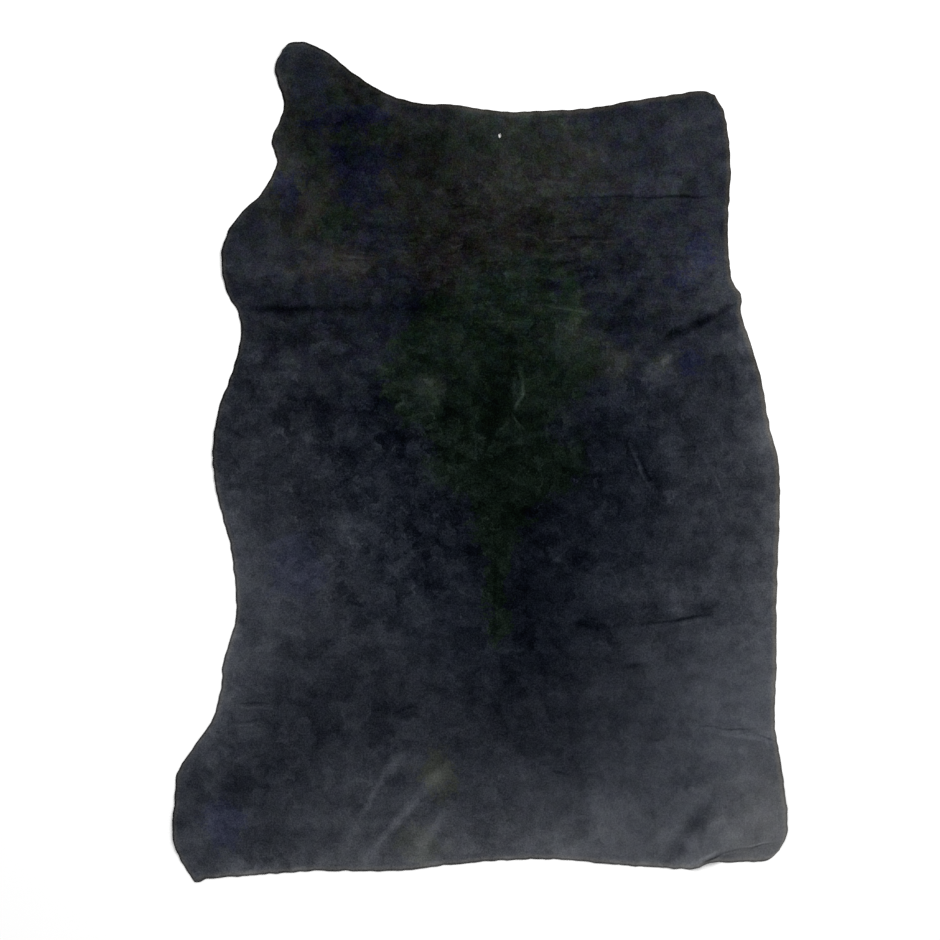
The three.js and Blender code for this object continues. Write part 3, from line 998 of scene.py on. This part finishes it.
class HideSizes(bpy.types.PropertyGroup):
    """The sizes of the sheet."""

    thickness: length_property("Thickness", "Thickness of the suede", 1.2)
    columns: IntProperty(
        name="Columns", description="Cells across the nap side, an even number", default=236
    )
    edge_crowding: FloatProperty(
        name="Edge crowding", description="How much the columns crowd at the sides", default=0.6
    )
    edge_share: FloatProperty(
        name="Edge share", description="Share of the thickness left at the very edge", default=0.45
    )
    waviness: length_property("Waviness", "Height of the small uneven rises", 0.5)
    wave_size: length_property("Wave size", "Length of the small uneven rises", 34)
    hole_x: length_property("Hole x", "Pin hole's place across", 33)
    hole_y: length_property("Hole y", "Pin hole's place along", 536)
    hole_width: length_property("Hole width", "Width of the pin hole", 4.4)
    hole_length: length_property("Hole length", "Length of the pin hole", 7.8)


def screen(red, green, blue):
    """A colour given as a screen shows it, in steps of 0 to 255."""
    return (red / SCREEN_STEPS, green / SCREEN_STEPS, blue / SCREEN_STEPS)


def dye_property(name, description, colour):
    return FloatVectorProperty(
        name=name,
        description=description,
        subtype="COLOR_GAMMA",
        min=0.0,
        max=1.0,
        default=screen(*colour),
    )


class SuedeDyes(bpy.types.PropertyGroup):
    """The colours of the suede, as a screen shows them."""

    bottle: dye_property("Bottle", "Green-black of the saddle and spine", (14, 23, 18))
    ink: dye_property("Ink", "Blue-black round the saddle", (20, 24, 32))
    umber: dye_property("Umber", "Brown-black of the neck", (34, 36, 35))
    indigo: dye_property("Indigo", "Bluest blots", (38, 41, 58))
    sepia: dye_property("Sepia", "Red-black blots of the throat", (38, 34, 35))
    fawn: dye_property("Fawn", "Worn brown-grey of the chest", (56, 54, 52))
    moss: dye_property("Moss", "Green-grey of the brushed bands", (60, 63, 57))
    slate: dye_property("Slate", "Dark blue-grey of the sides", (40, 43, 50))
    ash: dye_property("Ash", "Paler grey of the flanks", (60, 62, 67))
    chalk: dye_property("Chalk", "Palest grey of the right heel", (90, 91, 93))
    flesh: dye_property("Flesh side", "Grey of the underside", (52, 54, 58))
    edge: dye_property("Cut edge", "Brown-grey of the raw edge", (58, 55, 50))


class StageLook(bpy.types.PropertyGroup):
    """The floor, light and camera."""

    floor: FloatVectorProperty(
        name="Floor", description="Colour of the floor", subtype="COLOR", default=(0.98, 0.98, 0.98)
    )
    sky: FloatProperty(
        name="Sky", description="Strength of the even light from all round", default=0.75
    )
    key: FloatProperty(
        name="Key", description="Power of the soft light above", default=90.0, unit="POWER"
    )
    key_size: length_property("Key size", "Width of the soft light", 2200)
    lens: FloatProperty(name="Lens", description="Focal length", default=85.0, unit="CAMERA")
    view_width: length_property("View width", "Width of the view on the hide", 1541.6)
    view_x: length_property("View x", "Middle of the view, across", -15.9)
    view_y: length_property("View y", "Middle of the view, along", -12.3)


class HideSettings(bpy.types.PropertyGroup):
    """All settings of the hide and its stage."""

    sizes: PointerProperty(type=HideSizes)
    dyes: PointerProperty(type=SuedeDyes)
    stage: PointerProperty(type=StageLook)


def ragged(shader, place, tears):
    """The place pushed about unevenly, so that what is drawn on it gets a torn rim."""
    for size, reach in tears:
        push = shader.noise(place, size, detail=3, roughness=0.8, output="Color") - 0.5
        place = place + push * tuple(reach * part for part in TEAR_REACHES)
    return place


def evened(colour):
    """What a colour adds to the grey that is as light as it."""
    mean = sum(colour) / 3
    return tuple(part - mean for part in colour)


def tones_with_painted_light(shader, place, torn):
    """How light the dye left each part, with painted light that grows towards the lower right and painted
    shade in the heel hollow, in steps of 255.
    """
    soft = ragged(shader, place, TONE_TEARS)
    tone_and_painted_light = BASE_TONE
    for spots, rows in ((soft, TONES_AND_PAINTED_LIGHT), (torn, SCUFFS)):
        for _name, x, y, half_width, half_length, step in rows:
            tone_and_painted_light = shader.oval(spots, (x, y), (half_width, half_length), step) + tone_and_painted_light
    return tone_and_painted_light


def hue(shader, place, dyes):
    """The dye's hue, as what it adds to an even grey. Its borders are ragged."""
    torn = ragged(shader, place, HUE_TEARS)
    colour = evened(dyes.slate)
    for _name, x, y, half_width, half_length, core, dye, share in HUES:
        mask = shader.oval(torn, (x, y), (half_width, half_length), share, core)
        colour = shader.mix(mask, colour, evened(getattr(dyes, dye)))
    mottle = (shader.noise(place, *MOTTLE, output="Color") - 0.5) * screen(*MOTTLE_STEPS)
    return colour + mottle * (shader.part(place, MOTTLED_PART) + LEAST_MOTTLE)


def marks_and_painted_crease_light(shader, place):
    """What the painted shade and highlights of the creases, wrinkles and pleat, and the scratches and
    brushed bands add, in steps of 255.
    """
    bends = shader.noise(place, MARK_BENDS, detail=1, output="Color") - 0.5
    bent = place + bends * MARK_REACH
    tone_and_painted_light = 0.0
    for _name, x0, y0, x1, y1, half_width, step in MARKS_AND_PAINTED_CREASE_LIGHT:
        tone_and_painted_light = shader.stroke(bent, (x0, y0), (x1, y1), half_width, step) + tone_and_painted_light
    return tone_and_painted_light


def grain(shader, place, torn):
    """The unevenness of the nap, from speckle to clouds, in steps of 255."""
    cloudy = shader.part(place, CLOUDY_RIBS) + shader.part(place, CLOUDY_BACK)
    clouds = shader.uneven(torn, *CLOUDS) * (cloudy + 1.0)
    speckle = shader.uneven(place, *SPECKLE)
    smooth = shader.part(place, SMOOTH_HEEL)
    flecks = shader.fade(shader.noise(torn, *FLECKS), *FLECK_FADE)
    streaks_across = shader.uneven(place * (STREAK_SCALE, 1.0, 0.0), *STREAKS_ACROSS)
    streaks_down = shader.uneven(place * (1.0, STREAK_SCALE, 0.0), *STREAKS_DOWN)
    streaks = (
        streaks_across * shader.part(place, PART_STREAKED_ACROSS)
        + streaks_down * shader.part(place, PART_STREAKED_DOWN)
    )
    kept = (clouds + speckle) * (1.0 - smooth)
    return kept + flecks * shader.part(place, FLECKED_PART) + streaks


def rim_with_painted_light(shader, place):
    """The steps of the rim with its painted light and shade, and how much of the raw edge's hue it has.

    A pale band runs all round, with painted shade as a thin dark line at the very edge; painted light
    makes the band paler and the line fainter on the side facing the light.
    """
    rim = shader.node("ShaderNodeAttribute", {"attribute_name": "rim"}, output="Fac")
    # Painted light: the side facing the light gets a paler band and a fainter dark line.
    painted_light_share = shader.fade(shader.along(place, *WAY_TO_LIGHT), LIT_FROM, LIT_FULL)
    band = shader.fade(rim, *RIM_BAND)
    # Painted shade: a thin dark line at the very edge.
    line = shader.fade(rim, *RIM_PAINTED_SHADE)

    def with_painted_light(shaded, added):
        return painted_light_share * added + shaded

    steps = band * with_painted_light(*RIM_BAND_AND_PAINTED_LIGHT_STEPS) + line * with_painted_light(*RIM_PAINTED_SHADE_STEPS)
    return steps, band * with_painted_light(*RIM_HUE_AND_PAINTED_LIGHT_SHARES)


def finished_suede(shader, place, seen, roughness, fibres):
    """Sets the surface that gives the colour to be seen, and its fine fibres."""
    size, strength = fibres
    relief = shader.noise(place, size, detail=2, roughness=0.7)
    values = {"Strength": strength, "Distance": FIBRE_HEIGHT, "Height": relief}
    shader.set_surface({
        "Base Color": shader.linear(seen) * (1 / LIGHT_ON_HIDE),
        "Roughness": roughness,
        "Specular IOR Level": SUEDE_SHINE,
        "Normal": shader.node("ShaderNodeBump", {}, values),
    })
    return shader.material


def nap_suede(dyes):
    """The dyed and brushed side, with painted light and shade in its colour."""
    shader = Shader("suede nap")
    place = shader.place()
    torn = ragged(shader, place, SCUFF_TEARS)
    # The rim adds a pale band, painted shade at the very edge and painted light on the side facing the
    # light.
    rim, rim_hue_and_painted_light_share = rim_with_painted_light(shader, place)
    # The tone holds the dye's tones with painted light towards the lower right, the creases' painted shade
    # and highlights, and the rim's painted light and shade.
    tone_and_painted_light = tones_with_painted_light(shader, place, torn) + grain(shader, place, torn) + marks_and_painted_crease_light(shader, place) + rim
    tint_with_painted_rim_light = shader.mix(rim_hue_and_painted_light_share, hue(shader, place, dyes), evened(dyes.edge))
    seen = tint_with_painted_rim_light + tone_and_painted_light * (1 / SCREEN_STEPS)
    return finished_suede(shader, place, seen, NAP_ROUGHNESS, NAP_FIBRES)


def raw_suede(name, colour, spots, fibres):
    """The raw edge or the flesh side: one colour with uneven spots."""
    shader = Shader(name)
    place = shader.place()
    seen = shader.uneven(place, *spots) * (1 / SCREEN_STEPS) + tuple(colour)
    return finished_suede(shader, place, seen, RAW_ROUGHNESS, fibres)


def hide_materials(dyes):
    """The sheet's materials in the order of their numbers: nap, cut edge, flesh."""
    nap = nap_suede(dyes)
    edge = raw_suede("suede cut edge", dyes.edge, RAW_EDGE_SPOTS, RAW_EDGE_FIBRES)
    flesh = raw_suede("suede flesh side", dyes.flesh, FLESH_SPOTS, FLESH_FIBRES)
    return nap, edge, flesh


class PIGSKIN_OT_lay_hide(bpy.types.Operator):
    """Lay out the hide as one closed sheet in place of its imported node"""

    bl_idname = "pigskin.lay_hide"
    bl_label = "Lay Hide"

    def execute(self, context):
        settings = context.scene.pigskin
        grid = sheet_grid(settings.sizes)
        hide = bpy.data.objects.new("suede_hide", sheet_mesh(grid, settings.sizes))
        context.collection.objects.link(hide)
        for material in hide_materials(settings.dyes):
            hide.data.materials.append(material)
        cut_out(hide, pin_hole_plug(settings.sizes))
        area = float(outline_area(grid)) * MM * MM
        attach(hide, "root")
        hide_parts(NODE)
        return {"FINISHED"}


def add_floor(context, look):
    mesh = bmesh.new()
    bmesh.ops.create_grid(mesh, x_segments=2, y_segments=2, size=FLOOR_HALF)
    bmesh.ops.translate(mesh, vec=(0, 0, -FLOOR_DROP), verts=mesh.verts)
    data = bpy.data.meshes.new("floor")
    mesh.to_mesh(data)
    mesh.free()
    shader = Shader("pale floor")
    shader.set_surface({"Base Color": tuple(look.floor), "Roughness": 1.0, "Specular IOR Level": 0.0})
    data.materials.append(shader.material)
    floor = bpy.data.objects.new("floor", data)
    context.collection.objects.link(floor)


def add_light(context, look):
    """An even light from all round, and a soft one above that is aimed at the hide's middle."""
    world = bpy.data.worlds.new("studio")
    world.use_nodes = True
    background = world.node_tree.nodes["Background"]
    background.inputs["Color"].default_value = (1.0, 1.0, 1.0, 1.0)
    background.inputs["Strength"].default_value = look.sky
    context.scene.world = world
    key = bpy.data.lights.new("key", "AREA")
    key.shape = "DISK"
    key.size = look.key_size
    key.energy = look.key
    lamp = bpy.data.objects.new("key", key)
    lamp.location = LIGHT_PLACE
    lamp.rotation_euler = (-lamp.location).to_track_quat("-Z", "Y").to_euler()
    context.collection.objects.link(lamp)


def add_camera(context, look):
    """A camera straight above, as far away as the width of its view asks for."""
    camera = bpy.data.cameras.new("camera")
    camera.lens = look.lens
    holder = bpy.data.objects.new("camera", camera)
    distance = look.view_width * camera.lens / camera.sensor_width
    holder.location = (look.view_x, look.view_y, distance)
    context.collection.objects.link(holder)
    context.scene.camera = holder
    context.scene.view_settings.view_transform = "Standard"


class PIGSKIN_OT_set_stage(bpy.types.Operator):
    """Set the pale floor, the soft light and the camera that looks straight down"""

    bl_idname = "pigskin.set_stage"
    bl_label = "Set Stage"

    def execute(self, context):
        look = context.scene.pigskin.stage
        add_floor(context, look)
        add_light(context, look)
        add_camera(context, look)
        return {"FINISHED"}


class PIGSKIN_PT_panel(bpy.types.Panel):
    """The hide's settings and steps"""

    bl_idname = "PIGSKIN_PT_panel"
    bl_label = "Pigskin Hide"
    bl_space_type = "VIEW_3D"
    bl_region_type = "UI"
    bl_category = "Hide"

    def draw(self, context):
        settings = context.scene.pigskin
        for group in (settings.sizes, settings.dyes, settings.stage):
            box = self.layout.box()
            for name in group.__annotations__:
                box.prop(group, name)
        for operator in (PIGSKIN_OT_set_stage, PIGSKIN_OT_lay_hide):
            self.layout.operator(operator.bl_idname)


CLASSES = (
    HideSizes,
    SuedeDyes,
    StageLook,
    HideSettings,
    PIGSKIN_OT_lay_hide,
    PIGSKIN_OT_set_stage,
    PIGSKIN_PT_panel,
)


def register():
    for cls in CLASSES:
        bpy.utils.register_class(cls)
    bpy.types.Scene.pigskin = PointerProperty(type=HideSettings)


def unregister():
    del bpy.types.Scene.pigskin
    for cls in reversed(CLASSES):
        bpy.utils.unregister_class(cls)


def main():
    register()
    bpy.ops.pigskin.set_stage()
    bpy.ops.pigskin.lay_hide()


if __name__ == "__main__":
    main()
